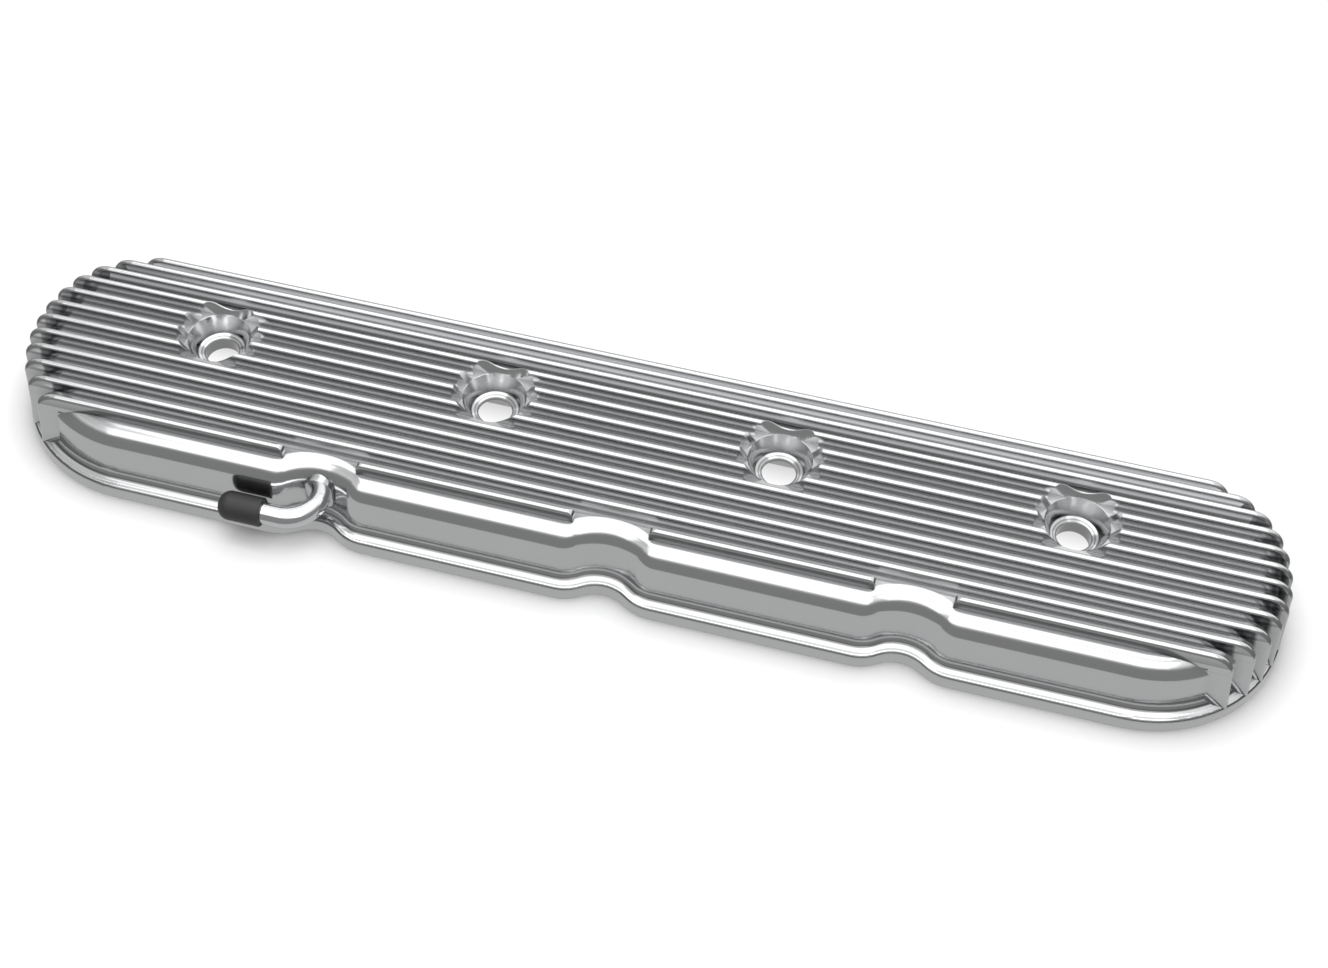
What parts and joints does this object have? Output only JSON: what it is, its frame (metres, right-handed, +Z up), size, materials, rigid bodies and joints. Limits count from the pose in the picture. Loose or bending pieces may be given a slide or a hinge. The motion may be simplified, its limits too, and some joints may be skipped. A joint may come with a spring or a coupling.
{
  "type": "engine valve cover",
  "caption": "Finned cast aluminium valve cover with a scalloped flange, conical bolt pockets, a gasket groove, an inner baffle and a capped breather tube.",
  "frame": {"origin": "middle of the overall outline, on the sealing face of the flange", "axes": "+X along the cover, +Y away from the scalloped side with the breather, +Z up from the sealing face to the fins"},
  "size_m": [0.4912, 0.1152, 0.0347],
  "materials": {
    "polished_casting": "polished",
    "tube_metal": "polished",
    "cap_rubber": "matte",
    "gasket_rubber": "matte",
    "baffle_sheet": "satin",
    "screw_steel": "satin"
  },
  "bodies": {
    "root": {"cover_casting": "polished_casting", "breather_tube": "tube_metal", "breather_cap": "cap_rubber", "flange_gasket": "gasket_rubber", "breather_baffle": "baffle_sheet", "baffle_screws": "screw_steel"}
  },
  "joints": []
}
